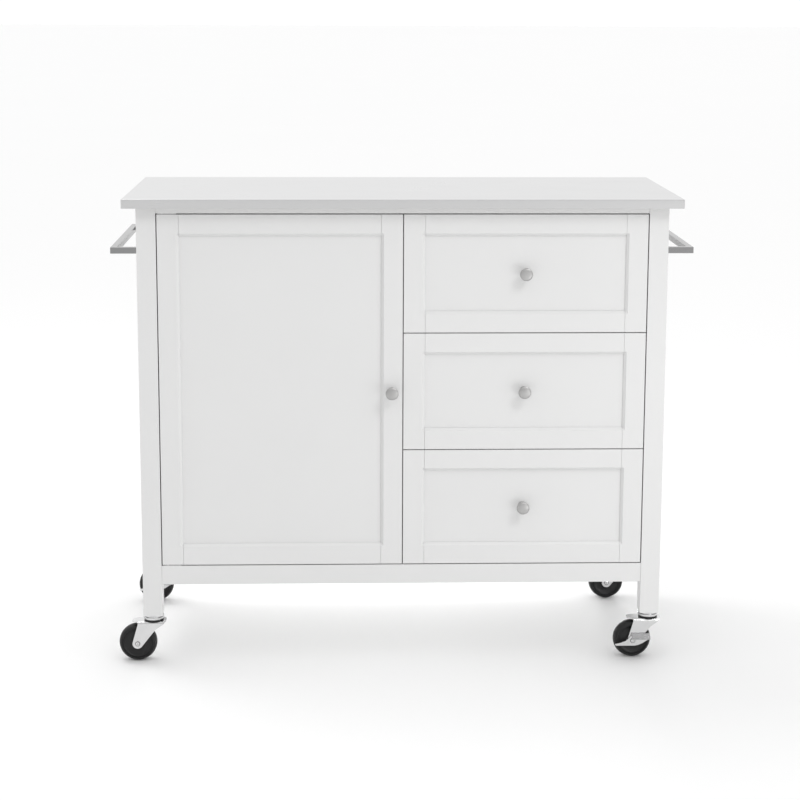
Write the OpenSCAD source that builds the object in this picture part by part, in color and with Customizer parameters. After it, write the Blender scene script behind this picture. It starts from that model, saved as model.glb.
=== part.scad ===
// Kitchen island cart on four swivel casters: a steel-topped cabinet with one door and three drawers.
// Millimetres, +Z up, front towards -Y. The origin is on the floor under the middle of the worktop.

/* [Worktop] */
// Width of the worktop
top_w = 1092; // [1060:2:1160]
// Depth of the worktop
top_d = 457; // [440:1:500]
// Height of the worktop above the floor
top_z = 940; // [900:1:960]
// Thickness of the worktop's edge
top_t = 18; // [14:1:30]
// Thickness of the folded steel sheet
sheet_t = 1.2; // [0.8:0.1:2]

/* [Cabinet] */
// Width over the posts
body_w = 1040; // [1000:2:1040]
// Depth over the posts
body_d = 411; // [400:1:420]
// Side of each square post
post = 38; // [32:1:45]
// Height of the posts' feet above the floor
foot_z = 96; // [94:1:110]
// Height of the bottom rail's lower edge
rail_z = 162; // [150:1:180]
// Height of the bottom rail
rail_h = 39; // [30:1:50]
// Thickness of the front top rail
top_rail_t = 12; // [10:1:20]
// Thickness of the side, back, bottom and divider panels
panel_t = 15; // [12:1:18]
// Thickness of the shelf
shelf_t = 15; // [12:1:18]
// Height of the shelf's underside
shelf_z = 540; // [450:10:650]

/* [Door and drawer fronts] */
// Gap round the door and between the drawer fronts
gap = 2; // [1.5:0.1:3]
// Thickness of the frames
front_t = 18; // [16:1:22]
// Width of the stiles and rails
stile_w = 42; // [35:1:60]
// How far the panels lie behind the frames
recess = 7; // [4:0.5:8]
// Thickness of the recessed panels
infill_t = 5; // [4:0.5:6]
// Setback of the fronts behind the posts
setback = 1; // [0.5:0.5:3]
// Diameter of the knobs
knob_d = 25.4; // [20:0.2:32]
// Reach of the knobs in front of the fronts
knob_reach = 24; // [20:1:30]

/* [Drawers] */
// Height of the drawer boxes
box_h = 150; // [100:5:160]
// Length of the drawer boxes
box_l = 355; // [330:5:360]
// Thickness of the drawer walls
wall_t = 12; // [10:1:15]
// Thickness of the drawer bottoms
base_t = 5; // [4:0.5:6]
// Room for a slide on each side of a drawer
slide_room = 12.7; // [12.5:0.1:13]

/* [Towel bars] */
// Side of the square bar
bar = 12; // [10:1:16]
// Height of the bars' underside
bar_z = 830; // [780:1:850]
// Room between a bar and the posts
bar_room = 40; // [30:1:50]

/* [Casters] */
// Diameter of the wheels
wheel_d = 76.2; // [70:0.2:80]
// Width of the wheels
wheel_w = 25; // [22:1:28]
// Distance of the axle behind the swivel axis
trail = 32; // [28:1:34]
// Thickness of the fork's plates
fork_t = 2.5; // [2:0.5:3]
// Diameter of the axle
axle_d = 8; // [6:0.5:10]
// Radial running clearance of pins and axles
run = 0.05; // [0.02:0.01:0.08]

/* [Hidden] */
$fn = 64;
LEVELS = ["top", "middle", "bottom"];
CORNERS = ["front_left", "front_right", "back_left", "back_right"];
BRAKED = ["front_right", "back_left"];

// Colours
paint = "#f2f2f0";
inside_paint = "#e9e9e6";
steel = "#c9ccce";
nickel = "#b4b4b2";
zinc = "#d4d6d8";
rubber = "#1c1c1e";
board = "#c7a87c";

// How far a cut runs past the face it starts from
over = 1;

// Worktop
top_under = top_z - top_t;
sheet_bend = 3;

// Cabinet, measured from the middle of the cart
post_x = (body_w - post) / 2;
post_y = (body_d - post) / 2;
opening_x = body_w / 2 - post;
side_inset = 5;
back_inset = 3;
side_out = body_w / 2 - side_inset;
side_in = side_out - panel_t;
between_posts_y = body_d / 2 - post;
front_y = -body_d / 2 + setback;
front_back_y = front_y + front_t;
back_y = body_d / 2 - back_inset - panel_t;
opening_z0 = rail_z + rail_h;
opening_z1 = top_under - top_rail_t;
top_rail_d = 60;
divider_play = 1;
stem_d = 10;
stem_l = 38;
stem_play = 0.2;

// Shelf and its pins
shelf_y0 = -160;
shelf_y1 = 164;
shelf_play = 1;
pin_d = 5;
pin_deep = 8;
pin_out = 9;
pin_play = 0.2;
pin_collar = 1;
pin_y = 120;
pin_pitch = 64;
pin_rows = [-1, 0, 1];

// Door and drawer fronts
front_z0 = opening_z0 + gap;
front_z1 = opening_z1 - gap;
front_h = front_z1 - front_z0;
door_x0 = -opening_x + gap;
door_x1 = -gap / 2;
drawer_x0 = gap / 2;
drawer_x1 = opening_x - gap;
drawer_h = (front_h - gap * 2) / 3;
groove = 8;
infill_play = 1;
// Hairline between boards that meet in one node, so that each stays a solid of its own
hairline = 0.1;

// Turned profile of the knobs
knob_foot_r = knob_d * 0.34;
knob_foot_l = 2;
knob_neck_r = knob_d * 0.22;
knob_head_l = knob_reach * 0.45;
knob_flare_l = knob_reach * 0.25;
knob_dome_r = knob_d * 1.6;

// Pivot hinge of the door
pivot_x = door_x0 + 10;
pivot_y = front_y + 5;
pivot_d = 5;
pivot_l = 11;
leaf_t = 2;
leaf_l = 28;
leaf_w = 14;
leaf_end = 8;
leaf_front = -4;
leaf_proud = 0.4;
bracket_proud = 0.8;
pivot_room = 1;

// Catch and its strike plate
catch_size = [12, 16, 46];
catch_gap = 0.3;
catch_z = 845;
strike_size = [22, 1.2, 40];

// Drawer boxes and slides
divider_face = panel_t / 2;
box_x0 = divider_face + slide_room;
box_x1 = opening_x - slide_room;
box_lift = 34;
base_lift = 10;
base_groove = 5;
slide_l = 350;
slide_half = 18;
slide_t = 1.5;
slide_play = 0.3;
slide_lift = 45;
rail_reach = 9.5;
runner_reach = 9.5;
runner_back = 3;
batten_h = 60;

// Casters
wheel_r = wheel_d / 2;
hub_w = wheel_w + 3.4;
fork_in = hub_w / 2 + 0.8;
fork_out = fork_in + fork_t;
fork_top = 83.5;
fork_under = fork_top - fork_t;
fork_nose = 25;
fork_tail = 35;
crown_r = 3;
cheek_r = 11.5;
cheek_inset = 0.5;
// The cheek's straight edges cross its round end by this much, so that they meet it at a clear angle
cheek_cross = 0.2;
elbow_in = 15;
elbow_drop = 14.4;
tread_r = wheel_w * 0.62;
web_r = wheel_r * 0.7;
hub_r = wheel_r * 0.34;
dish = 3;
cup_r = 20.5;
cup_gap = 0.6;
cup_h = foot_z - fork_top - cup_gap;
cup_rim_h = cup_h * 0.75;
cup_foot_r = cup_r * 0.8;
king_d = 8;
king_head_t = 2;
king_head_gap = 0.3;
brake_t = 2;
brake_gap = 0.4;
axle_head_r = 5;
axle_head_t = 2;
wing_l = 36;
wing_r = 10;
wing_drop = 11;
toe_h = 4;
toe_bevel = 2;
heel_z = 7;
heel_h = 4;
heel_bevel = 3;
pedal_x0 = -3;
pedal_x1 = 34;
pedal_z1 = 16;
pedal_l = 13;
pedal_drop = 9;
pedal_inset = 1;
pedal_root_t = 3;

function level_z(i) = front_z1 - drawer_h * (i + 1) - gap * i;
function side_x(corner) = (corner == "front_left" || corner == "back_left") ? -post_x : post_x;
function side_y(corner) = (corner == "front_left" || corner == "front_right") ? -post_y : post_y;
function is_braked(corner) = corner == BRAKED[0] || corner == BRAKED[1];

// Point where a line from p touches the circle of radius r about the origin, on its left (1) or right (-1)
function touch(p, r, side) =
    let (a = atan2(p[1], p[0]) + side * acos(r / norm(p)))
    [r * cos(a), r * sin(a)];

// Box between two opposite corners
module block(low, high) {
    translate(low) cube(high - low);
}

// The children, and their mirror image in the YZ plane
module both_sides() {
    children();
    mirror([1, 0, 0]) children();
}

// Cylinder along Y, centred on the origin
module rod_y(r, l) {
    rotate([90, 0, 0]) cylinder(r = r, h = l, center = true);
}

// ---- Worktop ----

// Plan of a rectangle with rounded corners, about the origin
module rounded_plan(w, d, r) {
    square([w - 2 * r, d], center = true);
    square([w, d - 2 * r], center = true);
    for (x = [-1, 1], y = [-1, 1])
        translate([x * (w / 2 - r), y * (d / 2 - r)]) circle(r);
}

// Plan of the board inside the folded sheet
module core_plan() {
    rounded_plan(top_w - 2 * sheet_t, top_d - 2 * sheet_t, sheet_bend - sheet_t);
}

module steel_top() {
    color(steel) difference() {
        translate([0, 0, top_under]) linear_extrude(top_t) rounded_plan(top_w, top_d, sheet_bend);
        translate([0, 0, top_under - over]) linear_extrude(top_t + over - sheet_t) core_plan();
    }
}

module top_core() {
    color(board) translate([0, 0, top_under]) linear_extrude(top_t - sheet_t) core_plan();
}

// ---- Cabinet ----

module post_at(corner) {
    color(paint) translate([side_x(corner), side_y(corner), foot_z]) difference() {
        block([-post / 2, -post / 2, 0], [post / 2, post / 2, top_under - foot_z]);
        translate([0, 0, -over]) cylinder(d = stem_d + stem_play, h = stem_l + 2 * over);
    }
}

// Blind holes for the shelf pins, in a wall whose face is at x and whose board lies towards way
module pin_holes(x, way) {
    for (y = [-pin_y, pin_y], row = pin_rows)
        translate([x, y, shelf_z - pin_d / 2 + row * pin_pitch])
            rotate([0, way * 90, 0])
                translate([0, 0, -over]) cylinder(d = pin_d + pin_play, h = pin_deep + pin_play + over);
}

module side_panel_left() {
    color(paint) difference() {
        block([-side_out, -between_posts_y, rail_z], [-side_in, between_posts_y, top_under]);
        pin_holes(-side_in, -1);
    }
}

module side_panel_right() {
    color(paint) block([side_in, -between_posts_y, rail_z], [side_out, between_posts_y, top_under]);
}

module back_panel() {
    color(paint) block([-opening_x, back_y, rail_z], [opening_x, back_y + panel_t, top_under]);
}

module divider() {
    color(inside_paint) difference() {
        block([-divider_face, front_back_y + divider_play, opening_z0], [divider_face, back_y, top_under]);
        pin_holes(-divider_face, 1);
        block([-divider_face - over, front_y, opening_z1],
              [divider_face + over, front_y + top_rail_d, top_under + over]);
    }
}

module bottom_panel() {
    color(inside_paint) difference() {
        block([-side_in, front_back_y, opening_z0 - panel_t], [side_in, back_y, opening_z0]);
        for (corner = CORNERS)
            translate([side_x(corner), side_y(corner), opening_z0 - panel_t])
                block([-post / 2, -post / 2, -over], [post / 2, post / 2, panel_t + over]);
    }
}

module front_top_rail() {
    color(paint) difference() {
        block([-opening_x, front_y, opening_z1], [opening_x, front_y + top_rail_d, top_under]);
        bracket_plate(opening_z1 - bracket_proud);
    }
}

module front_bottom_rail() {
    color(paint) difference() {
        block([-opening_x, front_y, rail_z], [opening_x, front_back_y, opening_z0]);
        bracket_plate(opening_z0 + bracket_proud - leaf_t);
    }
}

module shelf() {
    color(inside_paint)
        block([-side_in + shelf_play, shelf_y0, shelf_z],
              [-divider_face - shelf_play, shelf_y1, shelf_z + shelf_t]);
}

// Peg that sits in a wall hole, with a collar against the wall; the peg points along +X
module shelf_pin() {
    rotate([0, 90, 0]) {
        translate([0, 0, -pin_deep]) cylinder(d = pin_d, h = pin_deep + pin_out);
        cylinder(r = pin_d / 2 + pin_collar, h = shelf_play / 2);
    }
}

module shelf_pins() {
    color(zinc) for (y = [-pin_y, pin_y]) {
        translate([-side_in, y, shelf_z - pin_d / 2]) shelf_pin();
        translate([-divider_face, y, shelf_z - pin_d / 2]) mirror([1, 0, 0]) shelf_pin();
    }
}

// U-shaped bar on the left end: an arm on each post and the bar between them
module towel_bar_left() {
    bar_x = -body_w / 2 - bar_room - bar;
    color(steel) translate([0, 0, bar_z]) {
        block([bar_x, -post_y - bar / 2, 0], [bar_x + bar, post_y + bar / 2, bar]);
        for (y = [-post_y, post_y])
            block([bar_x, y - bar / 2, 0], [-body_w / 2, y + bar / 2, bar]);
    }
}

module towel_bar_right() {
    mirror([1, 0, 0]) towel_bar_left();
}

// ---- Door hinge and catch ----

// Plate of a hinge bracket, with its underside at z
module bracket_plate(z) {
    translate([pivot_x, pivot_y, z])
        block([-leaf_end, leaf_front, 0], [leaf_l, leaf_front + leaf_w, leaf_t]);
}

module hinge_brackets() {
    color(zinc) {
        bracket_plate(opening_z0 + bracket_proud - leaf_t);
        translate([pivot_x, pivot_y, opening_z0]) cylinder(d = pivot_d, h = pivot_l);
        bracket_plate(opening_z1 - bracket_proud);
        translate([pivot_x, pivot_y, opening_z1 - pivot_l]) cylinder(d = pivot_d, h = pivot_l);
    }
}

// Leaf in the door's edge, with its underside at z
module door_leaf(z) {
    translate([pivot_x, pivot_y, z]) difference() {
        block([-leaf_end, leaf_front, 0], [leaf_l, leaf_front + leaf_w, leaf_t]);
        translate([0, 0, -over]) cylinder(d = pivot_d + 2 * run, h = leaf_t + 2 * over);
    }
}

module door_hinge_leaves() {
    color(zinc) {
        door_leaf(front_z0 - leaf_proud);
        door_leaf(front_z1 + leaf_proud - leaf_t);
    }
}

// Room for the leaves and pins in the door's stile
module leaf_mortises() {
    for (z = [front_z0 - leaf_t, front_z1 - leaf_t + leaf_proud])
        translate([pivot_x, pivot_y, z])
            block([-leaf_end, leaf_front, 0], [leaf_l, leaf_front + leaf_w, 2 * leaf_t - leaf_proud]);
    for (z = [front_z0 - over, front_z1 - pivot_l])
        translate([pivot_x, pivot_y, z]) cylinder(r = pivot_d / 2 + pivot_room, h = pivot_l + over);
}

module magnetic_catch() {
    low = [-divider_face - catch_size[0], front_back_y + strike_size[1] + catch_gap, catch_z];
    color(zinc) block(low, low + catch_size);
}

module door_strike_plate() {
    low = [-divider_face - strike_size[0], front_back_y, catch_z + (catch_size[2] - strike_size[2]) / 2];
    color(zinc) block(low, low + strike_size);
}

// ---- Shaker fronts ----

// Groove for the infill panel, round the inside of a frame that fills x0..x1 and z0..z1
module infill_groove(x0, x1, z0, z1) {
    depth = front_y + recess;
    block([x0 + stile_w - groove, depth, z0 + stile_w - groove],
          [x1 - stile_w + groove, depth + infill_t, z1 - stile_w + groove]);
}

module stiles(x0, x1, z0, z1) {
    difference() {
        for (x = [x0, x1 - stile_w])
            block([x, front_y, z0], [x + stile_w, front_back_y, z1]);
        infill_groove(x0, x1, z0, z1);
    }
}

module rails(x0, x1, z0, z1) {
    difference() {
        for (z = [z0, z1 - stile_w])
            block([x0 + stile_w + hairline, front_y, z],
                  [x1 - stile_w - hairline, front_back_y, z + stile_w]);
        infill_groove(x0, x1, z0, z1);
    }
}

module infill(x0, x1, z0, z1) {
    inset = stile_w - groove + infill_play;
    block([x0 + inset, front_y + recess, z0 + inset],
          [x1 - inset, front_y + recess + infill_t, z1 - inset]);
}

// Round knob that stands out from the face at depth y, on the axis x, z
module knob_at(x, y, z) {
    head_z = knob_reach - knob_head_l;
    translate([x, y, z]) rotate([90, 0, 0]) {
        cylinder(r = knob_foot_r, h = knob_foot_l);
        cylinder(r = knob_neck_r, h = head_z + over);
        translate([0, 0, head_z]) cylinder(r1 = knob_neck_r, r2 = knob_d / 2, h = knob_flare_l);
        intersection() {
            translate([0, 0, head_z + knob_flare_l]) cylinder(d = knob_d, h = knob_head_l - knob_flare_l);
            translate([0, 0, knob_reach - knob_dome_r]) sphere(knob_dome_r);
        }
    }
}

module door_stiles() {
    color(paint) difference() {
        stiles(door_x0, door_x1, front_z0, front_z1);
        leaf_mortises();
    }
}

module door_rails() {
    color(paint) rails(door_x0, door_x1, front_z0, front_z1);
}

module door_panel() {
    color(paint) infill(door_x0, door_x1, front_z0, front_z1);
}

module door_knob() {
    color(nickel) knob_at(door_x1 - stile_w / 2, front_y, (front_z0 + front_z1) / 2);
}

// ---- Drawers ----

module drawer_frame(i) {
    z0 = level_z(i);
    color(paint) {
        stiles(drawer_x0, drawer_x1, z0, z0 + drawer_h);
        rails(drawer_x0, drawer_x1, z0, z0 + drawer_h);
    }
}

module drawer_panel(i) {
    color(paint) infill(drawer_x0, drawer_x1, level_z(i), level_z(i) + drawer_h);
}

module drawer_knob(i) {
    color(nickel)
        knob_at((drawer_x0 + drawer_x1) / 2, front_y + recess, level_z(i) + drawer_h / 2);
}

// Two sides, a front wall and a back wall, grooved for the base
module drawer_walls(i) {
    y1 = front_back_y + box_l;
    color(inside_paint) translate([0, 0, level_z(i) + box_lift]) difference() {
        union() {
            for (x = [box_x0, box_x1 - wall_t])
                block([x, front_back_y, 0], [x + wall_t, y1, box_h]);
            for (y = [front_back_y, y1 - wall_t])
                block([box_x0 + wall_t + hairline, y, 0],
                      [box_x1 - wall_t - hairline, y + wall_t, box_h]);
        }
        drawer_base_block();
    }
}

// Base board of a drawer box, let into its walls
module drawer_base_block() {
    inset = wall_t - base_groove;
    block([box_x0 + inset, front_back_y + inset, base_lift],
          [box_x1 - inset, front_back_y + box_l - inset, base_lift + base_t]);
}

module drawer_base(i) {
    color(board) translate([0, 0, level_z(i) + box_lift]) drawer_base_block();
}

// Channel along Y that opens towards +X, with its web on x = 0
module channel(half, reach, l) {
    block([0, 0, -half], [slide_t, l, half]);
    for (z = [-half, half - slide_t])
        block([0, 0, z], [reach, l, z + slide_t]);
}

module drawer_runners(i) {
    half = slide_half - slide_t - slide_play;
    color(zinc) translate([0, front_back_y + runner_back, level_z(i) + box_lift + slide_lift]) {
        translate([box_x0, 0, 0]) mirror([1, 0, 0]) channel(half, runner_reach, slide_l);
        translate([box_x1, 0, 0]) channel(half, runner_reach, slide_l);
    }
}

module slide_rails() {
    color(zinc) for (i = [0:len(LEVELS) - 1])
        translate([0, front_back_y + runner_back, level_z(i) + box_lift + slide_lift]) {
            translate([divider_face, 0, 0]) channel(slide_half, rail_reach, slide_l);
            translate([opening_x, 0, 0]) mirror([1, 0, 0]) channel(slide_half, rail_reach, slide_l);
        }
}

module slide_battens() {
    color(board) for (i = [0:len(LEVELS) - 1])
        translate([0, 0, level_z(i) + box_lift + slide_lift])
            block([opening_x, -between_posts_y, -batten_h / 2], [side_in, between_posts_y, batten_h / 2]);
}

// ---- Casters ----

// Each caster is drawn about its swivel axis, with the wheel trailing towards -X

// Raceway cup under a post, its stem up into the post and its king pin down through the fork
module caster_cup() {
    translate([0, 0, foot_z]) {
        cylinder(d = stem_d, h = stem_l);
        translate([0, 0, -cup_rim_h]) cylinder(r = cup_r, h = cup_rim_h);
        translate([0, 0, -cup_h]) cylinder(r1 = cup_foot_r, r2 = cup_r, h = cup_h - cup_rim_h);
    }
    translate([0, 0, fork_under - king_head_gap]) cylinder(d = king_d, h = foot_z - fork_under);
    translate([0, 0, fork_under - king_head_gap - king_head_t])
        cylinder(r = king_d, h = king_head_t);
}

module caster_cups() {
    color(zinc) for (corner = CORNERS)
        translate([side_x(corner), side_y(corner), 0]) caster_cup();
}

// Outline of the fork's crown, seen from above, with its four corners rounded
module crown_plan() {
    length = fork_tail + fork_nose;
    translate([(fork_nose - fork_tail) / 2, 0]) rounded_plan(length, 2 * fork_out, crown_r);
}

// Outline of a fork cheek, in X and Z about the axle: it tapers from the crown to a round end
module cheek_plan() {
    top = fork_under - wheel_r;
    inset = crown_r + cheek_inset;
    tail = [trail - fork_tail + inset, top];
    nose = [trail + fork_nose - inset, top];
    elbow = [nose[0] - elbow_in, top - elbow_drop];
    edge_r = cheek_r - cheek_cross;
    circle(cheek_r);
    polygon([tail, nose, elbow, touch(elbow, edge_r, -1), [0, 0], touch(tail, edge_r, 1)]);
}

// Hole for the axle, through whatever stands at the trailing end
module axle_bore(r) {
    translate([-trail, 0, wheel_r]) rod_y(r, 4 * fork_out);
}

module fork_body() {
    difference() {
        union() {
            translate([0, 0, fork_under]) linear_extrude(fork_t) crown_plan();
            for (y = [-fork_in, fork_out])
                translate([-trail, y, wheel_r]) rotate([90, 0, 0]) linear_extrude(fork_t) cheek_plan();
        }
        translate([0, 0, fork_under - over]) cylinder(d = king_d + 2 * run, h = fork_t + 2 * over);
        axle_bore(axle_d / 2 + run);
    }
}

// Half section of the wheel, from its bore out to its crowned tread
module wheel_section() {
    bore_r = axle_d / 2 + run;
    difference() {
        union() {
            intersection() {
                translate([bore_r, -wheel_w / 2]) square([wheel_r - bore_r, wheel_w]);
                union() {
                    translate([wheel_r - tread_r, 0]) circle(tread_r);
                    translate([bore_r, -wheel_w / 2]) square([wheel_r - tread_r - bore_r, wheel_w]);
                }
            }
            translate([bore_r, -hub_w / 2]) square([hub_r - bore_r, hub_w]);
        }
        for (y = [-1, 1])
            translate([hub_r, y > 0 ? wheel_w / 2 - dish : -wheel_w / 2 - over])
                square([web_r - hub_r, dish + over]);
    }
}

module wheel_body() {
    translate([-trail, 0, wheel_r]) rotate([90, 0, 0]) rotate_extrude() wheel_section();
}

// Rivet through the fork and the wheel; a braked one is longer in front, to carry the lever
module axle_body(braked) {
    front = fork_out + (braked ? 2 * brake_gap + brake_t : 0);
    translate([-trail, 0, wheel_r]) rotate([90, 0, 0]) {
        translate([0, 0, -fork_out]) cylinder(d = axle_d, h = fork_out + front);
        translate([0, 0, front]) cylinder(r = axle_head_r, h = axle_head_t);
        translate([0, 0, -fork_out - axle_head_t]) cylinder(r = axle_head_r, h = axle_head_t);
    }
}

// Wing-shaped lever on the end of the axle, with a sloping pedal folded out of its top edge
module brake_body() {
    face_y = -fork_out - brake_gap;
    translate([-trail, face_y, wheel_r]) difference() {
        union() {
            rotate([90, 0, 0]) linear_extrude(brake_t) brake_plan();
            translate([pedal_x0, 0, 0]) rotate([90, 0, 90]) linear_extrude(pedal_x1 - pedal_x0)
                polygon([
                    [0, pedal_z1], [-pedal_l, pedal_z1 - pedal_drop],
                    [-pedal_l, pedal_z1 - pedal_drop - brake_t], [0, pedal_z1 - pedal_root_t]
                ]);
        }
        rod_y(axle_d / 2 + run, 4 * brake_t);
    }
}

// Outline of the lever's wing, about the axle: toe, underside, heel, foot of the pedal, and back to the toe
module brake_plan() {
    circle(wing_r);
    polygon([
        [-wing_l, toe_h - wing_drop], [-wing_l + toe_bevel, -wing_drop],
        [wing_r * 0.4, -wing_drop], [wing_l / 2, -wing_drop / 2],
        [wing_l - heel_bevel, heel_z - heel_h], [wing_l, heel_z],
        [pedal_x1 - pedal_inset, pedal_z1 - pedal_inset], [pedal_x0 + pedal_inset, pedal_z1 - pedal_inset],
        [-wing_r / 2, heel_z], [-wing_r * 1.6, -heel_bevel]
    ]);
}

module fork_at(corner) {
    color(zinc) translate([side_x(corner), side_y(corner), 0]) fork_body();
}

module wheel_at(corner) {
    color(rubber) translate([side_x(corner), side_y(corner), 0]) wheel_body();
}

module axle_at(corner) {
    color(zinc) translate([side_x(corner), side_y(corner), 0]) axle_body(is_braked(corner));
}

module brake_at(corner) {
    color(zinc) translate([side_x(corner), side_y(corner), 0]) brake_body();
}

steel_top();
top_core();
post_at("front_left");  // post_front_left
post_at("front_right");  // post_front_right
post_at("back_left");  // post_back_left
post_at("back_right");  // post_back_right
side_panel_left();
side_panel_right();
back_panel();
divider();
bottom_panel();
front_top_rail();
front_bottom_rail();
shelf();
shelf_pins();
towel_bar_left();
towel_bar_right();
hinge_brackets();
magnetic_catch();
slide_rails();
slide_battens();
caster_cups();
door_stiles();
door_rails();
door_panel();
door_knob();
door_hinge_leaves();
door_strike_plate();
drawer_frame(0);  // drawer_top_frame
drawer_panel(0);  // drawer_top_panel
drawer_walls(0);  // drawer_top_walls
drawer_base(0);  // drawer_top_base
drawer_knob(0);  // drawer_top_knob
drawer_runners(0);  // drawer_top_runners
drawer_frame(1);  // drawer_middle_frame
drawer_panel(1);  // drawer_middle_panel
drawer_walls(1);  // drawer_middle_walls
drawer_base(1);  // drawer_middle_base
drawer_knob(1);  // drawer_middle_knob
drawer_runners(1);  // drawer_middle_runners
drawer_frame(2);  // drawer_bottom_frame
drawer_panel(2);  // drawer_bottom_panel
drawer_walls(2);  // drawer_bottom_walls
drawer_base(2);  // drawer_bottom_base
drawer_knob(2);  // drawer_bottom_knob
drawer_runners(2);  // drawer_bottom_runners
fork_at("front_left");  // fork_front_left
wheel_at("front_left");  // wheel_front_left
axle_at("front_left");  // axle_front_left
fork_at("front_right");  // fork_front_right
wheel_at("front_right");  // wheel_front_right
axle_at("front_right");  // axle_front_right
fork_at("back_left");  // fork_back_left
wheel_at("back_left");  // wheel_back_left
axle_at("back_left");  // axle_back_left
fork_at("back_right");  // fork_back_right
wheel_at("back_right");  // wheel_back_right
axle_at("back_right");  // axle_back_right
brake_at("front_right");  // brake_front_right
brake_at("back_left");  // brake_back_left
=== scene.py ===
"""Looks of a kitchen island cart: white satin cabinet, brushed steel top, nickel knobs and swivel casters.

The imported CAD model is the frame. Boards whose CAD shape is right stay and get eased edges and a paint.
The steel top, the fronts, the knobs, the towel bars and the casters are built here in more detail.
"""

import math

import bmesh
import bpy
from mathutils import Matrix, Vector


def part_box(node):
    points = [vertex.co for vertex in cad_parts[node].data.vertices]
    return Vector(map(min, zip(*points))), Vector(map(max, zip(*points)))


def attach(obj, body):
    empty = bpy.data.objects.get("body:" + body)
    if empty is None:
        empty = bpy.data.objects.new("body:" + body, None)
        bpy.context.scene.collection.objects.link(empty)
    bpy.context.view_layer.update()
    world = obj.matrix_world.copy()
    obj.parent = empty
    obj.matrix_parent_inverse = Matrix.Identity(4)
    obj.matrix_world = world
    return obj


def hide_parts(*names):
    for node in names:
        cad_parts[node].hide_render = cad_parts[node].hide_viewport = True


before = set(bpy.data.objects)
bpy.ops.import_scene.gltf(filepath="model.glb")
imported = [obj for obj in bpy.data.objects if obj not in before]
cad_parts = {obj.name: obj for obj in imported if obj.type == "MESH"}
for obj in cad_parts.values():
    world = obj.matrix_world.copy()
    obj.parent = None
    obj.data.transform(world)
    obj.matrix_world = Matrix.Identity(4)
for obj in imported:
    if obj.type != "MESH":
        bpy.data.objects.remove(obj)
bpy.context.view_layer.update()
MM = 0.001
LEVELS = ("top", "middle", "bottom")
CORNERS = ("front_left", "front_right", "back_left", "back_right")
BRAKED = ("front_right", "back_left")


# ---------------------------------------------------------------- materials

class Nodes:
    """A short way to build a node material: links are made by passing sockets as values."""

    def __init__(self, name):
        self.material = bpy.data.materials.new(name)
        self.material.use_nodes = True
        self.tree = self.material.node_tree
        self.shader = self.tree.nodes["Principled BSDF"]

    def add(self, kind, inputs=None, **settings):
        node = self.tree.nodes.new(kind)
        for key, value in settings.items():
            setattr(node, key, value)
        for key, value in (inputs or {}).items():
            self.put(node.inputs[key], value)
        return node

    def put(self, socket, value):
        if isinstance(value, bpy.types.NodeSocket):
            self.tree.links.new(value, socket)
        else:
            socket.default_value = value

    def set(self, **inputs):
        for key, value in inputs.items():
            self.put(self.shader.inputs[key.replace("_", " ")], value)

    def place(self, scale=(1, 1, 1)):
        """Object coordinates, stretched by scale."""
        where = self.add("ShaderNodeTexCoord").outputs["Object"]
        return self.add("ShaderNodeMapping", {"Vector": where, "Scale": scale}).outputs["Vector"]

    def noise(self, place, scale, detail=3.0, roughness=0.5):
        inputs = {"Vector": place, "Scale": scale, "Detail": detail, "Roughness": roughness}
        return self.add("ShaderNodeTexNoise", inputs).outputs["Fac"]

    def spread(self, value, low, high):
        """Maps a 0 to 1 value onto low to high."""
        inputs = {"Value": value, "To Min": low, "To Max": high}
        return self.add("ShaderNodeMapRange", inputs).outputs["Result"]

    def blend(self, factor, a, b):
        """Colour between a and b."""
        node = self.add("ShaderNodeMix", data_type="RGBA")
        self.put(node.inputs[0], factor)
        self.put(node.inputs[6], (*a, 1))
        self.put(node.inputs[7], (*b, 1))
        return node.outputs[2]

    def bump(self, height, strength, distance):
        inputs = {"Height": height, "Strength": strength, "Distance": distance}
        return self.add("ShaderNodeBump", inputs).outputs["Normal"]


def paint(name, shade, along, roughness=0.42):
    """Satin white paint over board: a fine orange peel, and grain that just shows along one axis."""
    n = Nodes(name)
    stretch = [220.0, 220.0, 220.0]
    stretch["xyz".index(along)] = 9.0
    grain = n.noise(n.place(stretch), 1.0, detail=4.0)
    peel = n.noise(n.place(), 900.0, detail=2.0)
    cloud = n.noise(n.place(), 5.0, detail=2.0)
    light = tuple(min(1.0, c * 1.012) for c in shade)
    dark = tuple(c * 0.982 for c in shade)
    height = n.add("ShaderNodeMath", {0: grain, 1: peel}, operation="ADD").outputs[0]
    n.set(
        Base_Color=n.blend(cloud, dark, light),
        Roughness=n.spread(grain, roughness - 0.05, roughness + 0.05),
        Normal=n.bump(height, 0.12, 0.0001),
        Coat_Weight=0.15,
        Coat_Roughness=0.2,
    )
    return n.material


def brushed(name, tone, along, roughness, streak=0.06, relief=0.15):
    """Brushed metal: long fine scratches along one axis, in colour, gloss and height."""
    n = Nodes(name)
    stretch = [1500.0, 1500.0, 1500.0]
    stretch["xyz".index(along)] = 12.0
    scratches = n.noise(n.place(stretch), 1.0, detail=5.0, roughness=0.7)
    smudges = n.noise(n.place(), 7.0, detail=3.0)
    light = tuple(min(1.0, c * (1 + streak)) for c in tone)
    dark = tuple(c * (1 - streak) for c in tone)
    gloss = n.add("ShaderNodeMath", {0: scratches, 1: smudges}, operation="MULTIPLY").outputs[0]
    n.set(
        Base_Color=n.blend(scratches, dark, light),
        Metallic=1.0,
        Roughness=n.spread(gloss, roughness - 0.08, roughness + 0.16),
        Normal=n.bump(scratches, relief, 0.00004),
    )
    return n.material


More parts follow.
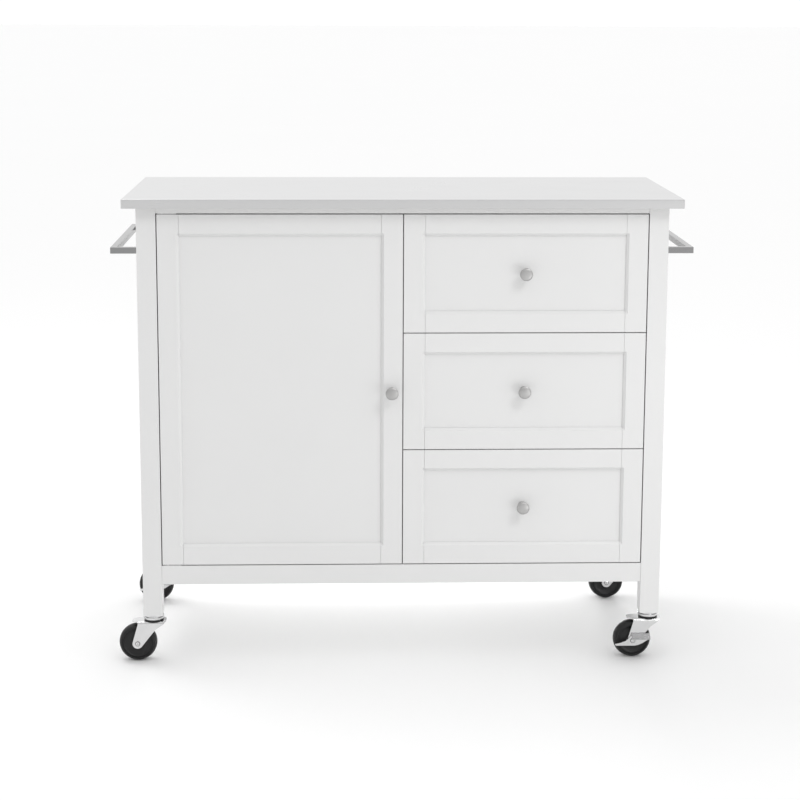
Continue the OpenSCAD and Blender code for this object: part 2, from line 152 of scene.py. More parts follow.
def satin_metal(name, tone, roughness, grain=1100.0):
    """Plated metal with a fine cast or tumbled grain."""
    n = Nodes(name)
    fine = n.noise(n.place(), grain, detail=3.0)
    cloud = n.noise(n.place(), 60.0, detail=2.0)
    light = tuple(min(1.0, c * 1.05) for c in tone)
    dark = tuple(c * 0.93 for c in tone)
    n.set(
        Base_Color=n.blend(cloud, dark, light),
        Metallic=1.0,
        Roughness=n.spread(fine, roughness - 0.05, roughness + 0.07),
        Normal=n.bump(fine, 0.08, 0.00003),
    )
    return n.material


def black_moulding(name, tone, roughness, grain):
    """Black moulded rubber or plastic with a fine grain and a dusty sheen in patches."""
    n = Nodes(name)
    fine = n.noise(n.place(), grain, detail=3.0)
    dust = n.noise(n.place(), 45.0, detail=4.0)
    light = tuple(c * 1.6 for c in tone)
    n.set(
        Base_Color=n.blend(dust, tone, light),
        Roughness=n.spread(dust, roughness - 0.08, roughness + 0.1),
        Specular_IOR_Level=0.35,
        Normal=n.bump(fine, 0.25, 0.00006),
    )
    return n.material


def raw_board(name, tone):
    """Unpainted board: pressed fibres with darker flecks."""
    n = Nodes(name)
    fibres = n.noise(n.place((140, 420, 420)), 1.0, detail=6.0, roughness=0.65)
    flecks = n.noise(n.place((60, 60, 60)), 4.0, detail=5.0)
    dark = tuple(c * 0.8 for c in tone)
    light = tuple(min(1.0, c * 1.12) for c in tone)
    mixed = n.add("ShaderNodeMath", {0: fibres, 1: flecks}, operation="MULTIPLY").outputs[0]
    n.set(
        Base_Color=n.blend(n.spread(mixed, -0.3, 2.2), dark, light),
        Roughness=n.spread(fibres, 0.6, 0.8),
        Normal=n.bump(fibres, 0.2, 0.0001),
    )
    return n.material


WHITE = (0.71, 0.71, 0.708)
INNER_WHITE = (0.76, 0.76, 0.755)
PAINT_X = paint("white_paint_along_x", WHITE, "x")
PAINT_Y = paint("white_paint_along_y", WHITE, "y")
PAINT_Z = paint("white_paint_along_z", WHITE, "z")
INNER_X = paint("inner_paint_along_x", INNER_WHITE, "x", 0.55)
INNER_Y = paint("inner_paint_along_y", INNER_WHITE, "y", 0.55)
STAINLESS = brushed("brushed_stainless_top", (0.65, 0.65, 0.652), "x", 0.32, 0.02, 0.05)
BAR_STEEL = brushed("brushed_bar_steel", (0.29, 0.29, 0.292), "y", 0.22)
NICKEL = satin_metal("satin_nickel", (0.46, 0.457, 0.453), 0.44)
ZINC = satin_metal("bright_zinc", (0.70, 0.70, 0.703), 0.18)
# Near-black race under each fork's crown: painted shade of the gap between the swivel cup and the fork.
SHADE_BLACK_RACE = satin_metal("ball_race_painted_shade", (0.035, 0.035, 0.036), 0.35)
# The pedal's zinc is a darker copy of the wing's: painted shade on its upturned face.
PEDAL_ZINC_SHADED = satin_metal("pedal_zinc_painted_shade", (0.36, 0.36, 0.362), 0.26)
SLIDE_STEEL = satin_metal("slide_steel", (0.62, 0.622, 0.625), 0.28)
TYRE = black_moulding("black_tyre", (0.008, 0.008, 0.0083), 0.48, 1400.0)
CORE = black_moulding("black_wheel_core", (0.007, 0.007, 0.0073), 0.36, 2400.0)
BOARD = raw_board("raw_board", (0.62, 0.49, 0.34))
BACKING = raw_board("grey_backing_board", (0.66, 0.655, 0.645))


# ---------------------------------------------------------------- mesh helpers

def keep_flats(obj):
    """Lets large flat faces keep their own normals, so only the eased edges are shaded round."""
    weighted = obj.modifiers.new("weighted_normals", "WEIGHTED_NORMAL")
    weighted.keep_sharp = True


def piece(name, bm, material, body, replaces=(), smooth_deg=35, flats=False):
    """Turns a bmesh into a piece that rides on a CAD body and may stand for CAD nodes."""
    bmesh.ops.recalc_face_normals(bm, faces=bm.faces[:])
    mesh = bpy.data.meshes.new(name)
    bm.to_mesh(mesh)
    bm.free()
    mesh.polygons.foreach_set("use_smooth", [True] * len(mesh.polygons))
    mesh.set_sharp_from_angle(angle=math.radians(smooth_deg))
    mesh.materials.append(material)
    obj = bpy.data.objects.new(name, mesh)
    bpy.context.scene.collection.objects.link(obj)
    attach(obj, body)
    if replaces:
        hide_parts(*replaces)
    if flats:
        keep_flats(obj)
    return obj


def join(bm, other):
    """Adds a second bmesh to the first."""
    mesh = bpy.data.meshes.new("joined")
    other.to_mesh(mesh)
    other.free()
    bm.from_mesh(mesh)
    bpy.data.meshes.remove(mesh)


def moved(bm, matrix):
    bmesh.ops.transform(bm, matrix=matrix, verts=bm.verts[:])
    return bm


def eased_box(low, high, radius):
    """Box with all its edges rounded."""
    bm = bmesh.new()
    bmesh.ops.create_cube(bm, size=1)
    low, high = Vector(low), Vector(high)
    for v in bm.verts:
        v.co = Vector((low[i] + (v.co[i] + 0.5) * (high[i] - low[i]) for i in range(3)))
    bmesh.ops.bevel(bm, geom=bm.edges[:], offset=radius, segments=2, profile=0.5, affect="EDGES")
    return bm


def lathe(profile, axis="z", steps=72):
    """Surface turned about Z from (radius, height) points, or about Y with heights towards the front."""
    bm = bmesh.new()
    rings = []
    for radius, height in profile:
        if radius < 1e-7:
            rings.append([bm.verts.new((0, 0, height))])
            continue
        turns = [2 * math.pi * k / steps for k in range(steps)]
        rings.append([bm.verts.new((radius * math.cos(t), radius * math.sin(t), height)) for t in turns])
    for a, b in zip(rings, rings[1:]):
        for k in range(steps):
            corners = [a[k % len(a)], a[(k + 1) % len(a)], b[(k + 1) % len(b)], b[k % len(b)]]
            unique = list(dict.fromkeys(corners))
            if len(unique) > 2:
                bm.faces.new(unique)
    if axis == "y":
        moved(bm, Matrix.Rotation(math.radians(90), 4, "X"))
    return bm


def arc(centre, radius, start_deg, end_deg, steps=8):
    """Points along a circular arc, in the plane of the outline."""
    angles = [math.radians(start_deg + (end_deg - start_deg) * k / steps) for k in range(steps + 1)]
    return [(centre[0] + radius * math.cos(a), centre[1] + radius * math.sin(a)) for a in angles]


def plate(outline, thickness, ease):
    """Flat plate with eased rims: an outline in X and Z, made thick along Y from 0 to -thickness."""
    bm = bmesh.new()
    front = [bm.verts.new((x, -thickness, z)) for x, z in outline]
    back = [bm.verts.new((x, 0, z)) for x, z in outline]
    bm.faces.new(front)
    bm.faces.new(back[::-1])
    count = len(outline)
    for k in range(count):
        bm.faces.new([front[k], back[k], back[(k + 1) % count], front[(k + 1) % count]])
    rims = [e for e in bm.edges if abs(e.verts[0].co.y - e.verts[1].co.y) < 1e-9]
    bmesh.ops.bevel(bm, geom=rims, offset=ease, segments=2, profile=0.5, affect="EDGES")
    return bm


def prism(section, start, end, axis):
    """Solid with one section all along, from start to end on X or Z."""
    bm = bmesh.new()
    if axis == "x":
        ends = [[bm.verts.new((x, y, z)) for y, z in section] for x in (start, end)]
    else:
        ends = [[bm.verts.new((x, y, z)) for x, y in section] for z in (start, end)]
    bm.faces.new(ends[0])
    bm.faces.new(ends[1][::-1])
    count = len(section)
    for k in range(count):
        m = (k + 1) % count
        bm.faces.new([ends[0][k], ends[1][k], ends[1][m], ends[0][m]])
    return bm


def mm(*points):
    """Points written in millimetres, in metres."""
    return [(a * MM, b * MM) for a, b in points]


def ease_edges(bm, radius, segments=2, angle_deg=40):
    """Rounds every edge that is sharper than an angle."""
    limit = math.radians(angle_deg)
    sharp = [e for e in bm.edges if len(e.link_faces) == 2 and e.calc_face_angle() > limit]
    bmesh.ops.bevel(bm, geom=sharp, offset=radius, segments=segments, profile=0.5, affect="EDGES")
    return bm


# ---------------------------------------------------------------- boards that keep their CAD shape

def dress(node, material, ease=0.0008):
    """Gives a CAD node its material, with its sharp edges eased by modifiers."""
    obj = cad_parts[node]
    obj.data.materials.clear()
    obj.data.materials.append(material)
    weld = obj.modifiers.new("weld", "WELD")
    weld.merge_threshold = 0.00001
    if ease:
        bevel = obj.modifiers.new("eased_edges", "BEVEL")
        bevel.width = ease
        bevel.segments = 2
        bevel.limit_method = "ANGLE"
        bevel.angle_limit = math.radians(40)
        bevel.use_clamp_overlap = True
        bevel.harden_normals = True


def dress_boards():
    """Gives every board and fitting that keeps its CAD shape its material."""
    for corner in CORNERS:
        dress(f"post_{corner}", PAINT_Z, 0.0010)
    for side in ("left", "right"):
        dress(f"side_panel_{side}", PAINT_Z)
    dress("divider", INNER_Y)
    for node in ("back_panel", "front_top_rail", "front_bottom_rail"):
        dress(node, PAINT_X)
    for node in ("bottom_panel", "shelf"):
        dress(node, INNER_X)
    dress("top_core", BACKING, 0)
    dress("slide_battens", BOARD, 0.0005)
    fittings = ("shelf_pins", "hinge_brackets", "magnetic_catch", "door_hinge_leaves", "door_strike_plate")
    for node in fittings:
        dress(node, ZINC, 0.0002)
    dress("slide_rails", SLIDE_STEEL, 0.0002)
    for level in LEVELS:
        dress(f"drawer_{level}_runners", SLIDE_STEEL, 0.0002)
        dress(f"drawer_{level}_walls", INNER_Y, 0.0010)
        dress(f"drawer_{level}_base", BOARD, 0)
        dress(f"drawer_{level}_panel", PAINT_X, 0)
    dress("door_panel", PAINT_Z, 0)


# ---------------------------------------------------------------- worktop

def rounded_ring(low, high, inset, corner, z):
    """Corner points of a rounded rectangle at height z, drawn in by inset."""
    r = max(corner - inset, 0.4 * MM)
    x0, y0 = low.x + inset + r, low.y + inset + r
    x1, y1 = high.x - inset - r, high.y - inset - r
    turns = ((x1, y1, 0), (x0, y1, 90), (x0, y0, 180), (x1, y0, 270))
    return [(x, y, z) for cx, cy, start in turns for x, y in arc((cx, cy), r, start, start + 90, 6)]


def steel_top():
    """Folded sheet: rounded top arris, straight skirt, and a return lip that grips the board."""
    low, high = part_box("steel_top")
    core_low, core_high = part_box("top_core")
    sheet = core_low.x - low.x
    bend, corner, lip = 1.8 * MM, 3.0 * MM, 0.3 * MM
    levels = [(sheet, core_high.z), (sheet, low.z + lip)]
    levels += [(sheet * 0.75, low.z), (sheet * 0.25, low.z), (0.0, low.z + lip)]
    levels += [(bend + x, high.z - bend + z) for x, z in arc((0, 0), bend, 180, 90, 5)]
    bm = bmesh.new()
    rings = [[bm.verts.new(p) for p in rounded_ring(low, high, inset, corner, z)] for inset, z in levels]
    count = len(rings[0])
    for a, b in zip(rings, rings[1:]):
        for k in range(count):
            bm.faces.new([a[k], a[(k + 1) % count], b[(k + 1) % count], b[k]])
    bm.faces.new(rings[-1])
    bm.faces.new(rings[0][::-1])
    piece("worktop_sheet", bm, STAINLESS, "cabinet", ["steel_top"], flats=True)


# ---------------------------------------------------------------- Shaker fronts

STICKING = 5.0 * MM  # width and depth of the chamfer round a panel
HAIR = 0.4 * MM  # joint line between a stile and a rail


def stile_mesh(x0, x1, inner_x, z0, z1, opening_z0, opening_z1, front_y, back_y):
    """Upright of a frame. Its inner front edge is chamfered along the opening and mitred at its ends."""
    side = 1 if inner_x > (x0 + x1) / 2 else -1
    outer_x = x0 if side > 0 else x1
    c = STICKING
    back = [(outer_x, z0), (inner_x, z0), (inner_x, z1), (outer_x, z1)]
    front = [(outer_x, z0), (inner_x, z0), (inner_x, opening_z0 - c), (inner_x - side * c, opening_z0 - c),
             (inner_x - side * c, opening_z1 + c), (inner_x, opening_z1 + c), (inner_x, z1), (outer_x, z1)]
    bm = bmesh.new()
    f = [bm.verts.new((x, front_y, z)) for x, z in front]
    b = [bm.verts.new((x, back_y, z)) for x, z in back]
    low_in = bm.verts.new((inner_x, front_y + c, opening_z0))
    high_in = bm.verts.new((inner_x, front_y + c, opening_z1))
    bm.faces.new(f)
    bm.faces.new(b[::-1])
    bm.faces.new([f[0], b[0], b[3], f[7]])
    bm.faces.new([f[0], f[1], b[1], b[0]])
    bm.faces.new([f[6], f[7], b[3], b[2]])
    bm.faces.new([f[1], f[2], low_in, high_in, f[5], f[6], b[2], b[1]])
    bm.faces.new([f[2], f[3], low_in])
    bm.faces.new([f[4], f[5], high_in])
    bm.faces.new([f[3], f[4], high_in, low_in])
    return bm


def rail_mesh(x0, x1, z0, z1, inner_z, front_y, back_y):
    """Crosspiece of a frame, with its inner front edge chamfered over its whole length."""
    side = 1 if inner_z > (z0 + z1) / 2 else -1
    outer_z = z0 if side > 0 else z1
    section = [(back_y, outer_z), (front_y, outer_z), (front_y, inner_z - side * STICKING),
               (front_y + STICKING, inner_z), (back_y, inner_z)]
    return prism(section, x0, x1, "x")


def shaker_frame(prefix, low, high, body, stile_w, stands_for):
    """Two stiles and two rails with hairline joints between them."""
    ease = 0.6 * MM
    in_x0, in_x1 = low.x + stile_w, high.x - stile_w
    in_z0, in_z1 = low.z + stile_w, high.z - stile_w

    def part(name, bm, material):
        bm = ease_edges(bm, ease)
        piece(f"{prefix}_{name}", bm, material, body, stands_for, flats=True)

    for side, x0, x1, inner in (("left", low.x, in_x0, in_x0), ("right", in_x1, high.x, in_x1)):
        stile = stile_mesh(x0, x1, inner, low.z, high.z, in_z0, in_z1, low.y, high.y)
        part(f"stile_{side}", stile, PAINT_Z)
    for side, z0, z1, inner in (("bottom", low.z, in_z0, in_z0), ("top", in_z1, high.z, in_z1)):
        part(f"rail_{side}", rail_mesh(in_x0 + HAIR, in_x1 - HAIR, z0, z1, inner, low.y, high.y), PAINT_X)


def fronts():
    """The door's frame and the three drawers' frames, all with stiles of one width."""
    low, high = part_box("door_stiles")
    rail_low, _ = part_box("door_rails")
    stile_w = rail_low.x - low.x
    shaker_frame("door", low, high, "door", stile_w, ["door_stiles", "door_rails"])
    for level in LEVELS:
        low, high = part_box(f"drawer_{level}_frame")
        shaker_frame(f"drawer_{level}", low, high, f"drawer_{level}", stile_w, [f"drawer_{level}_frame"])


def knob(node, body):
    """Turned knob: foot, hollow waist, flared rim and a lightly domed face."""
    low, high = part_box(node)
    centre = (low + high) / 2
    reach, radius = high.y - low.y, (high.x - low.x) / 2
    neck, waist_z, rim_z, edge = radius * 0.42, reach * 0.40, reach * 0.80, 1.5 * MM
    foot_z, cove_r, cove_z = 2 * MM, radius * 0.24, reach * 0.22
    quarter = math.pi / 2
    profile = [(0, 0), (radius * 0.66, 0), (radius * 0.70, foot_z * 0.2), (radius * 0.68, foot_z * 0.8)]
    for t in (quarter * k / 6 for k in range(1, 7)):
        profile.append((neck + cove_r * (1 - math.sin(t)), foot_z + cove_z * (1 - math.cos(t))))
    for t in (quarter * k / 8 for k in range(9)):
        flare_r, flare_z = (radius - neck) * (1 - math.cos(t)), (rim_z - waist_z) * math.sin(t)
        profile.append((neck + flare_r, waist_z + flare_z))
    profile += arc((radius - edge, rim_z + edge * 0.9), edge, -20, 78)
    top_r, top_z = profile[-1]
    for t in (quarter * k / 10 for k in range(1, 10)):
        profile.append((top_r * math.cos(t), top_z + (reach - top_z) * math.sin(t)))
    profile.append((0, reach))
    bm = moved(lathe(profile, "y"), Matrix.Translation((centre.x, high.y, centre.z)))
    piece(f"{node}_turned", bm, NICKEL, body, [node], smooth_deg=50)


def knobs():
    knob("door_knob", "door")
    for level in LEVELS:
        knob(f"drawer_{level}_knob", f"drawer_{level}")


# ---------------------------------------------------------------- towel bars

def towel_bar(side):
    """Square bar on two arms, mitred at the outer corners, with a fine weld line at each mitre."""
    node = f"towel_bar_{side}"
    low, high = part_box(node)
    width = high.z - low.z
    outer, root = (low.x, high.x) if side == "left" else (high.x, low.x)
    inner = outer + math.copysign(width, root - outer)
    weld = 0.12 * MM

    def length(name, corners):
        bm = ease_edges(prism(corners, low.z, high.z, "z"), 0.7 * MM, 3)
        piece(f"{node}_{name}", bm, BAR_STEEL, "cabinet", [node], flats=True)

    length("rail", [(outer, low.y + weld), (outer, high.y - weld),
                    (inner, high.y - width - weld), (inner, low.y + width + weld)])
    for end, y, step in (("front", low.y, 1), ("back", high.y, -1)):
        length(f"arm_{end}", [(outer, y), (root, y), (root, y + step * width), (inner, y + step * width)])


# ---------------------------------------------------------------- casters

def touch_point(p, r, side):
    """Where a line from p touches the circle of radius r about the origin."""
    a = math.atan2(p[1], p[0]) + side * math.acos(r / math.hypot(*p))
    return r * math.cos(a), r * math.sin(a)


def across(p, q, height):
    """X at a height on the line from p to q."""
    share = (height - p[1]) / (q[1] - p[1])
    return p[0] + (q[0] - p[0]) * share


def cheek_limits(height, end_r, tail, elbow, nose):
    """Left and right edge of a fork cheek at a height. All points are measured from the axle."""
    tail_touch = touch_point(tail, end_r, 1)
    nose_touch = touch_point(elbow, end_r, -1)
    right = math.sqrt(max(end_r ** 2 - height ** 2, 0.0))
    left = -right
    if height > tail_touch[1]:
        left = across(tail_touch, tail, height)
    if height > elbow[1]:
        right = across(elbow, nose, height)
    elif height > nose_touch[1]:
        right = across(nose_touch, elbow, height)
    return left, right


def fork_rows(half, crown, end_r, tail_x, nose_x):
    """Sections of the fork from the foot of one cheek to the crown's middle: (y, z, left, right)."""
    bend, flare, nose_back = 4.5 * MM, 1.5 * MM, 4.0 * MM
    top = crown - bend
    tail, nose = (1.0 * MM, top), (nose_x - nose_back, top)
    elbow = (nose[0] - 17.0 * MM, crown - 16.5 * MM)
    heights = [-end_r * 0.999] + [-end_r * math.cos(math.pi / 2 * k / 9) for k in range(1, 10)]
    heights += [top * k / 16 for k in range(1, 17)]
    rows = [(half, z, *cheek_limits(z, end_r, tail, elbow, nose)) for z in heights]
    for a in (math.radians(15 * k) for k in range(1, 7)):
        y, z, out = half - bend + bend * math.cos(a), top + bend * math.sin(a), flare * math.sin(a)
        rows.append((y, z, tail[0] - out, nose[0] + out))
    for share in (1 - k / 6 for k in range(1, 7)):
        left = tail_x + share ** 4 * (tail[0] - flare - tail_x)
        right = nose_x - share ** 4 * (nose_back - flare)
        rows.append(((half - bend) * share, crown, left, right))
    return rows


def fork(corner):
    """Stamped fork: one sheet bent down over both sides of the wheel, with rounded bends."""
    node = f"fork_{corner}"
    low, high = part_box(node)
    axle_low, axle_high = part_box(f"axle_{corner}")
    axle = (axle_low + axle_high) / 2
    sheet, columns = 2.5 * MM, 14
    end_r = (axle.z - low.z) * 0.9
    rows = fork_rows((high.y - low.y) / 2, high.z - axle.z, end_r, low.x - axle.x, high.x - axle.x)
    rows += [(-y, z, left, right) for y, z, left, right in rows[-2::-1]]
    bm = bmesh.new()
    grid = [[bm.verts.new((left + (right - left) * k / columns, y, z)) for k in range(columns + 1)]
            for y, z, left, right in rows]
    for a, b in zip(grid, grid[1:]):
        for k in range(columns):
            bm.faces.new([a[k], b[k], b[k + 1], a[k + 1]])
    bmesh.ops.recalc_face_normals(bm, faces=bm.faces[:])
    top_face = max(bm.faces, key=lambda f: f.calc_center_median().z)
    if top_face.normal.z < 0:
        bmesh.ops.reverse_faces(bm, faces=bm.faces[:])
    bmesh.ops.solidify(bm, geom=bm.faces[:], thickness=sheet)
    moved(bm, Matrix.Translation((axle.x, (low.y + high.y) / 2, axle.z)))
    piece(f"{node}_stamped", bm, ZINC, f"caster_{corner}", [node], smooth_deg=40)


def raceway(corner):
    """Upper swivel cup with a rolled rim, threaded stem, the fork's ball race in near-black painted shade,
    and the king rivet.
    """
    post_low, post_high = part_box(f"post_{corner}")
    middle = (post_low + post_high) / 2
    foot = Matrix.Translation((middle.x, middle.y, post_low.z))
    crown = Matrix.Translation((middle.x, middle.y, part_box(f"fork_{corner}")[1].z))
    caster = f"caster_{corner}"

    cup = mm((0, 0), (20.2, 0), (20.5, -0.3), (20.5, -1.5), (20.2, -1.8), (17.4, -2.0), (17.4, -3.6))
    cup += mm((19.7, -4.0), (20.5, -4.8), *arc((17.9, -6.6), 2.6, 5, -85))
    cup += mm((16.5, -9.6), (16.0, -11.4), (0, -11.4))
    piece(f"caster_cup_{corner}", moved(lathe(cup), foot), ZINC, "cabinet", ["caster_cups"])

    length, pitch, root_r, thread_r = 38.0, 1.5, 4.6, 4.95
    starts = [pitch * k for k in range(int(length / pitch))]
    thread = [point for z in starts for point in ((root_r, z), (thread_r, z + pitch / 2))]
    stem = mm((0, 0), *thread, (root_r, length - 1.0), (root_r - 0.8, length), (0, length))
    bm = moved(lathe(stem, steps=32), foot)
    piece(f"caster_stem_{corner}", bm, ZINC, "cabinet", smooth_deg=20)

    # The race's near-black colour is painted shade of the gap under the cup.
    race = mm((9.0, -0.2), (19.2, -0.2), (19.4, 0.5), (19.4, 2.0), (18.6, 2.8), (17.4, 2.8), (17.2, 0.4),
              (9.0, 0.2), (9.0, -0.2))
    piece(f"fork_race_{corner}", moved(lathe(race), crown), SHADE_BLACK_RACE, caster)

    head = mm((0, -3.0), (7.6, -3.0), (8.0, -3.5), (7.2, -4.6), (4.6, -5.2), (0, -5.3))
    piece(f"king_rivet_{corner}", moved(lathe(head), crown), ZINC, "cabinet")


def wheel(corner):
    """Moulded wheel: crowned tyre, stepped core with a recessed web, and a hub."""
    node = f"wheel_{corner}"
    low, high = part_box(node)
    place = Matrix.Translation((low + high) / 2)
    radius, hub_half = (high.z - low.z) / 2, (high.y - low.y) / 2
    half, core_r, shoulder = hub_half - 1.7 * MM, radius * 0.80, 7.0 * MM
    flank = [(core_r, half * 0.86), (core_r + 0.8 * MM, half * 0.97), (core_r + 2.0 * MM, half)]
    tyre = [(r, -h) for r, h in flank]
    for t in (math.radians(10 * k) for k in range(-9, 10)):
        tyre.append((radius - shoulder + shoulder * math.cos(t), half * math.sin(t)))
    tyre += flank[::-1] + [(core_r, -half * 0.86)]
    piece(f"tyre_{corner}", moved(lathe(tyre, "y", 96), place), TYRE, node, [node])

    web, hub_r, bore = half - 3.2 * MM, radius * 0.30, 4.1 * MM
    side = [(core_r, 0), (core_r, half * 0.84)]
    side += [(core_r - 2.2 * MM, half * 0.86), (core_r - 3.2 * MM, half * 0.80), (core_r - 4.4 * MM, web)]
    side += [(hub_r + 2.4 * MM, web), (hub_r + 1.0 * MM, web + 0.8 * MM), (hub_r, half)]
    side += [(hub_r - 0.8 * MM, hub_half - 0.3 * MM), (hub_r - 1.4 * MM, hub_half), (bore, hub_half)]
    core = side + [(r, -h) for r, h in side[::-1]]
    piece(f"wheel_core_{corner}", moved(lathe(core, "y", 96), place), CORE, node, [node])


def axle_rivet(corner):
    """Axle with a domed, dimpled rivet head over a black ring at each end; the ring's black is painted
    shade round the head.
    """
    node = f"axle_{corner}"
    low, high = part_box(node)
    shade_ring_r = (high.z - low.z) / 2
    head_r, pin_r, head, shade_ring = 4.1 * MM, 3.95 * MM, 2.0 * MM, 0.5 * MM
    place = Matrix.Translation(((low.x + high.x) / 2, 0, (low.z + high.z) / 2))

    def end(at, out):
        """Outline of one end from the pin at a distance forward, with its head pointing out."""
        outline = [(pin_r, at), (head_r, at + out * shade_ring)]
        dome = ((1.0, 0.45), (0.86, 0.85), (0.6, 1.0), (0.36, 1.0), (0.22, 0.6), (0.0, 0.5))
        return outline + [(head_r * r, at + out * head * h) for r, h in dome]

    front, back = -(low.y + head), -(high.y - head)
    bm = moved(lathe(end(back, -1)[::-1] + end(front, 1), "y", 40), place)
    piece(f"{node}_rivet", bm, ZINC, f"caster_{corner}", [node])
    # Each end's black ring is painted shade: a dark outline round the rivet head where a shadow gap would
    # show.
    for side, at, out in (("front", front, 1), ("back", back, -1)):
        face = at + out * shade_ring
        ring = [(pin_r, at), (shade_ring_r, at), (shade_ring_r, at + (face - at) * 0.7), (shade_ring_r - 0.2 * MM, face)]
        bm = moved(lathe(ring + [(pin_r, face), (pin_r, at)], "y", 40), place)
        piece(f"{node}_bush_{side}", bm, CORE, f"caster_{corner}")


def brake_lever(corner):
    """Stamped wing on the axle's end, with a sloping ribbed pedal folded out of its top edge."""
    node = f"brake_{corner}"
    low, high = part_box(node)
    axle_low, axle_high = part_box(f"axle_{corner}")
    axle = (axle_low + axle_high) / 2
    place = Matrix.Translation((axle.x, high.y, axle.z))
    tip, top, reach = high.x - axle.x, high.z - axle.z, high.y - low.y
    left, right, sheet = -3 * MM, 34 * MM, 2.0 * MM

    toe = [(-tip, -7 * MM), (-tip + 0.6 * MM, -9.6 * MM), (-tip + 2.4 * MM, -11 * MM)]
    belly = mm((4, -11), (12, -9.2), (20, -5.4), (27, -0.8), (33, 3))
    heel = [(tip - 0.4 * MM, 4.8 * MM), (tip, 7 * MM), (right - 0.5 * MM, top - MM), (left + MM, top - MM)]
    back = mm((-4.5, 8.5), (-8.5, 4.2), (-15, -2), (-22, -4.6))
    wing = moved(plate(toe + belly + heel + back, sheet, 0.35 * MM), place)
    piece(f"{node}_wing", wing, ZINC, node, [node], smooth_deg=30, flats=True)

    drop, lip, fold = 9 * MM, 1.6 * MM, top - sheet * 0.4
    section = [(-sheet, fold), (-reach, top - drop), (-reach, top - drop - lip), (-sheet, fold - lip)]
    pedal = ease_edges(prism(section, left, right, "x"), 0.5 * MM)
    rib_inset, rib_y, rib_z = 3 * MM, 0.8 * MM, 0.5 * MM
    for share in (0.42, 0.62, 0.82):
        rib = eased_box((left + rib_inset, -rib_y, -rib_z), (right - rib_inset, rib_y, rib_z), 0.35 * MM)
        slope = Matrix.Rotation(math.atan2(drop, reach), 4, "X")
        join(pedal, moved(rib, Matrix.Translation((0, -reach * share, top - drop * share)) @ slope))
    moved(pedal, place)
    # The pedal gets a darker copy of the wing's zinc: painted shade on its upturned face.
    piece(f"{node}_pedal", pedal, PEDAL_ZINC_SHADED, node, [node], smooth_deg=30, flats=True)


def casters():
    for corner in CORNERS:
        fork(corner)
        raceway(corner)
        wheel(corner)
        axle_rivet(corner)
    for corner in BRAKED:
        brake_lever(corner)


# ---------------------------------------------------------------- room, light and camera

def floor():
    """Plain pale floor, far larger than the picture."""
    bm = bmesh.new()
    bmesh.ops.create_grid(bm, x_segments=4, y_segments=4, size=400)
    mesh = bpy.data.meshes.new("floor")
    bm.to_mesh(mesh)
    bm.free()
    n = Nodes("pale_floor")
    cloud = n.noise(n.place(), 0.6, detail=2.0)
    n.set(Base_Color=n.blend(cloud, (0.96, 0.96, 0.96), (0.97, 0.97, 0.97)), Roughness=0.75)
    n.set(Specular_IOR_Level=0.1)
    mesh.materials.append(n.material)
    obj = bpy.data.objects.new("floor", mesh)
    bpy.context.scene.collection.objects.link(obj)


def sky(level, slope):
    """Studio walls and ceiling, brighter along slope and dimmer against it. The camera sees plain white."""
    world = bpy.data.worlds.new("studio")
    bpy.context.scene.world = world
    world.use_nodes = True
    tree = world.node_tree
    tree.nodes.clear()
    lean = tree.nodes.new("ShaderNodeVectorMath")
    lean.operation = "DOT_PRODUCT"
    lean.inputs[1].default_value = slope
    tree.links.new(tree.nodes.new("ShaderNodeTexCoord").outputs["Generated"], lean.inputs[0])
    strength = tree.nodes.new("ShaderNodeMath")
    strength.operation = "ADD"
    strength.inputs[0].default_value = level
    tree.links.new(lean.outputs["Value"], strength.inputs[1])
    path = tree.nodes.new("ShaderNodeLightPath")
    mix = tree.nodes.new("ShaderNodeMixShader")
    tree.links.new(path.outputs["Is Camera Ray"], mix.inputs[0])
    lighting, backdrop = (tree.nodes.new("ShaderNodeBackground") for _ in range(2))
    tree.links.new(strength.outputs[0], lighting.inputs["Strength"])
    backdrop.inputs["Strength"].default_value = 1.05
    for socket, shell in ((1, lighting), (2, backdrop)):
        shell.inputs["Color"].default_value = (1, 1, 1, 1)
        tree.links.new(shell.outputs[0], mix.inputs[socket])
    out = tree.nodes.new("ShaderNodeOutputWorld")
    tree.links.new(mix.outputs[0], out.inputs[0])


def softbox(name, where, towards, wide, high, watts, spread_deg=180):
    """Oval area light at where, facing towards, that the camera doesn't see."""
    light = bpy.data.lights.new(name, "AREA")
    light.shape = "ELLIPSE"
    light.size = wide
    light.size_y = high
    light.energy = watts
    light.spread = math.radians(spread_deg)
    obj = bpy.data.objects.new(name, light)
    bpy.context.scene.collection.objects.link(obj)
    obj.location = where
    obj.rotation_mode = "QUATERNION"
    obj.rotation_quaternion = (Vector(where) - Vector(towards)).to_track_quat("Z", "Y")
    obj.visible_camera = False
    return obj


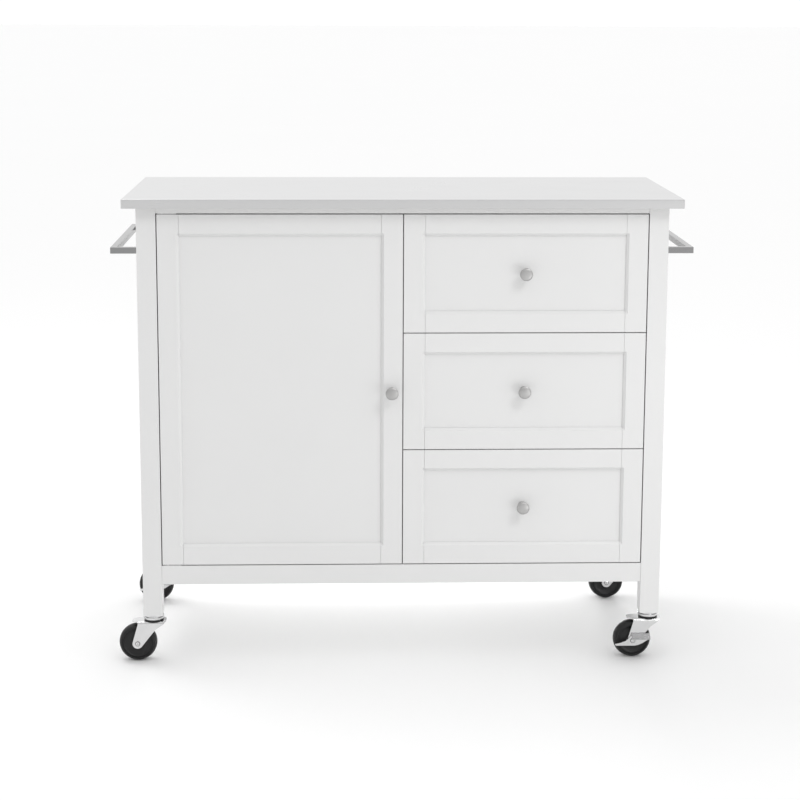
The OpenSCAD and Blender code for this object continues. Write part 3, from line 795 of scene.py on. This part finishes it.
def flag_off(light, *pieces):
    """Shields pieces from a light, as a flag on a stand does in a studio."""
    shaded = bpy.data.collections.new(f"{light.name}_flagged")
    light.light_linking.receiver_collection = shaded
    for name in pieces:
        shaded.objects.link(bpy.data.objects[name])
    for member in shaded.collection_objects:
        member.light_linking.link_state = "EXCLUDE"


def lights():
    """Lamps that add to the studio's even light, with flags that keep the front ones off the floor."""
    softbox("overhead_lamp", (-1.4, 0.85, 3.2), towards=(0.1, -0.3, 0.2), wide=1.3, high=1.3, watts=16)
    softbox("floor_strip", (0.0, 0.75, 0.07), towards=(0.0, -0.25, 0.03), wide=1.1, high=0.08, watts=0.68,
            spread_deg=25)
    key = softbox("key_softbox", (1.9, -2.6, 3.6), towards=(0.0, -0.2, 0.5), wide=1.4, high=1.4, watts=40)
    flag_off(key, "worktop_sheet", "floor")
    card = softbox("low_right_card", (1.3, -1.7, 0.16), towards=(0.05, -0.2, 0.2), wide=1.4, high=0.3,
                   watts=5)
    flag_off(card, "floor")


def camera():
    """Long lens, a little to the left of the middle and above the worktop, looking down at the front."""
    data = bpy.data.cameras.new("camera")
    data.sensor_width = 36
    data.lens = 82.53
    data.shift_y = -0.12
    obj = bpy.data.objects.new("camera", data)
    bpy.context.scene.collection.objects.link(obj)
    obj.location = (-0.121, -3.754, 1.318)
    turn = Matrix.Rotation(math.radians(-1.848), 4, "Z")
    tilt = Matrix.Rotation(math.radians(90 - 9.378), 4, "X")
    roll = Matrix.Rotation(math.radians(0.206), 4, "Z")
    obj.rotation_mode = "QUATERNION"
    obj.rotation_quaternion = (turn @ tilt @ roll).to_quaternion()
    data.clip_end = 100
    bpy.context.scene.camera = obj


def picture():
    """Colours as a camera records them, with no film curve, so that white stays white."""
    bpy.context.scene.view_settings.view_transform = "Standard"
    bpy.context.scene.view_settings.look = "None"


dress_boards()
steel_top()
fronts()
knobs()
for end in ("left", "right"):
    towel_bar(end)
casters()
floor()
sky(0.77, (0.03, 0.20, 0.36))
lights()
camera()
picture()
